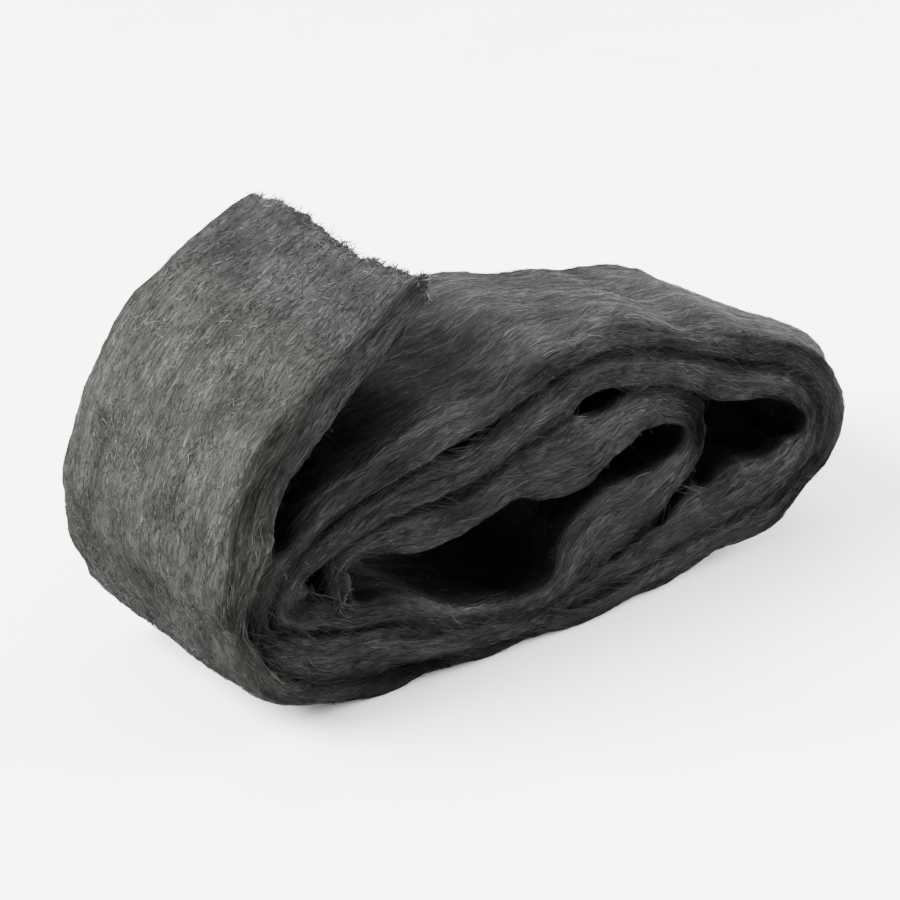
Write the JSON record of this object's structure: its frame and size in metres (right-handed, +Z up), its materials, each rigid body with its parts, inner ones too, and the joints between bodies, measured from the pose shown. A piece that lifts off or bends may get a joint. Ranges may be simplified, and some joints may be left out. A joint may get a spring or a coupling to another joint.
{
  "type": "steel wool pad",
  "caption": "Hand-sized pad of steel wool: one long ribbon wound flat on itself, with hollows between its turns and a loose outer end that stands up.",
  "frame": {"origin": "middle of the pad's footprint, on the surface it rests on", "axes": "+X along the pad from the end with the loose flap to the other end, +Y across the ribbon's width, +Z up"},
  "size_m": [0.1536, 0.0518, 0.082],
  "materials": {
    "steel_wool": "matt, fibrous, dark grey"
  },
  "bodies": {
    "root": {"wound_ribbon": "steel_wool"}
  },
  "joints": []
}
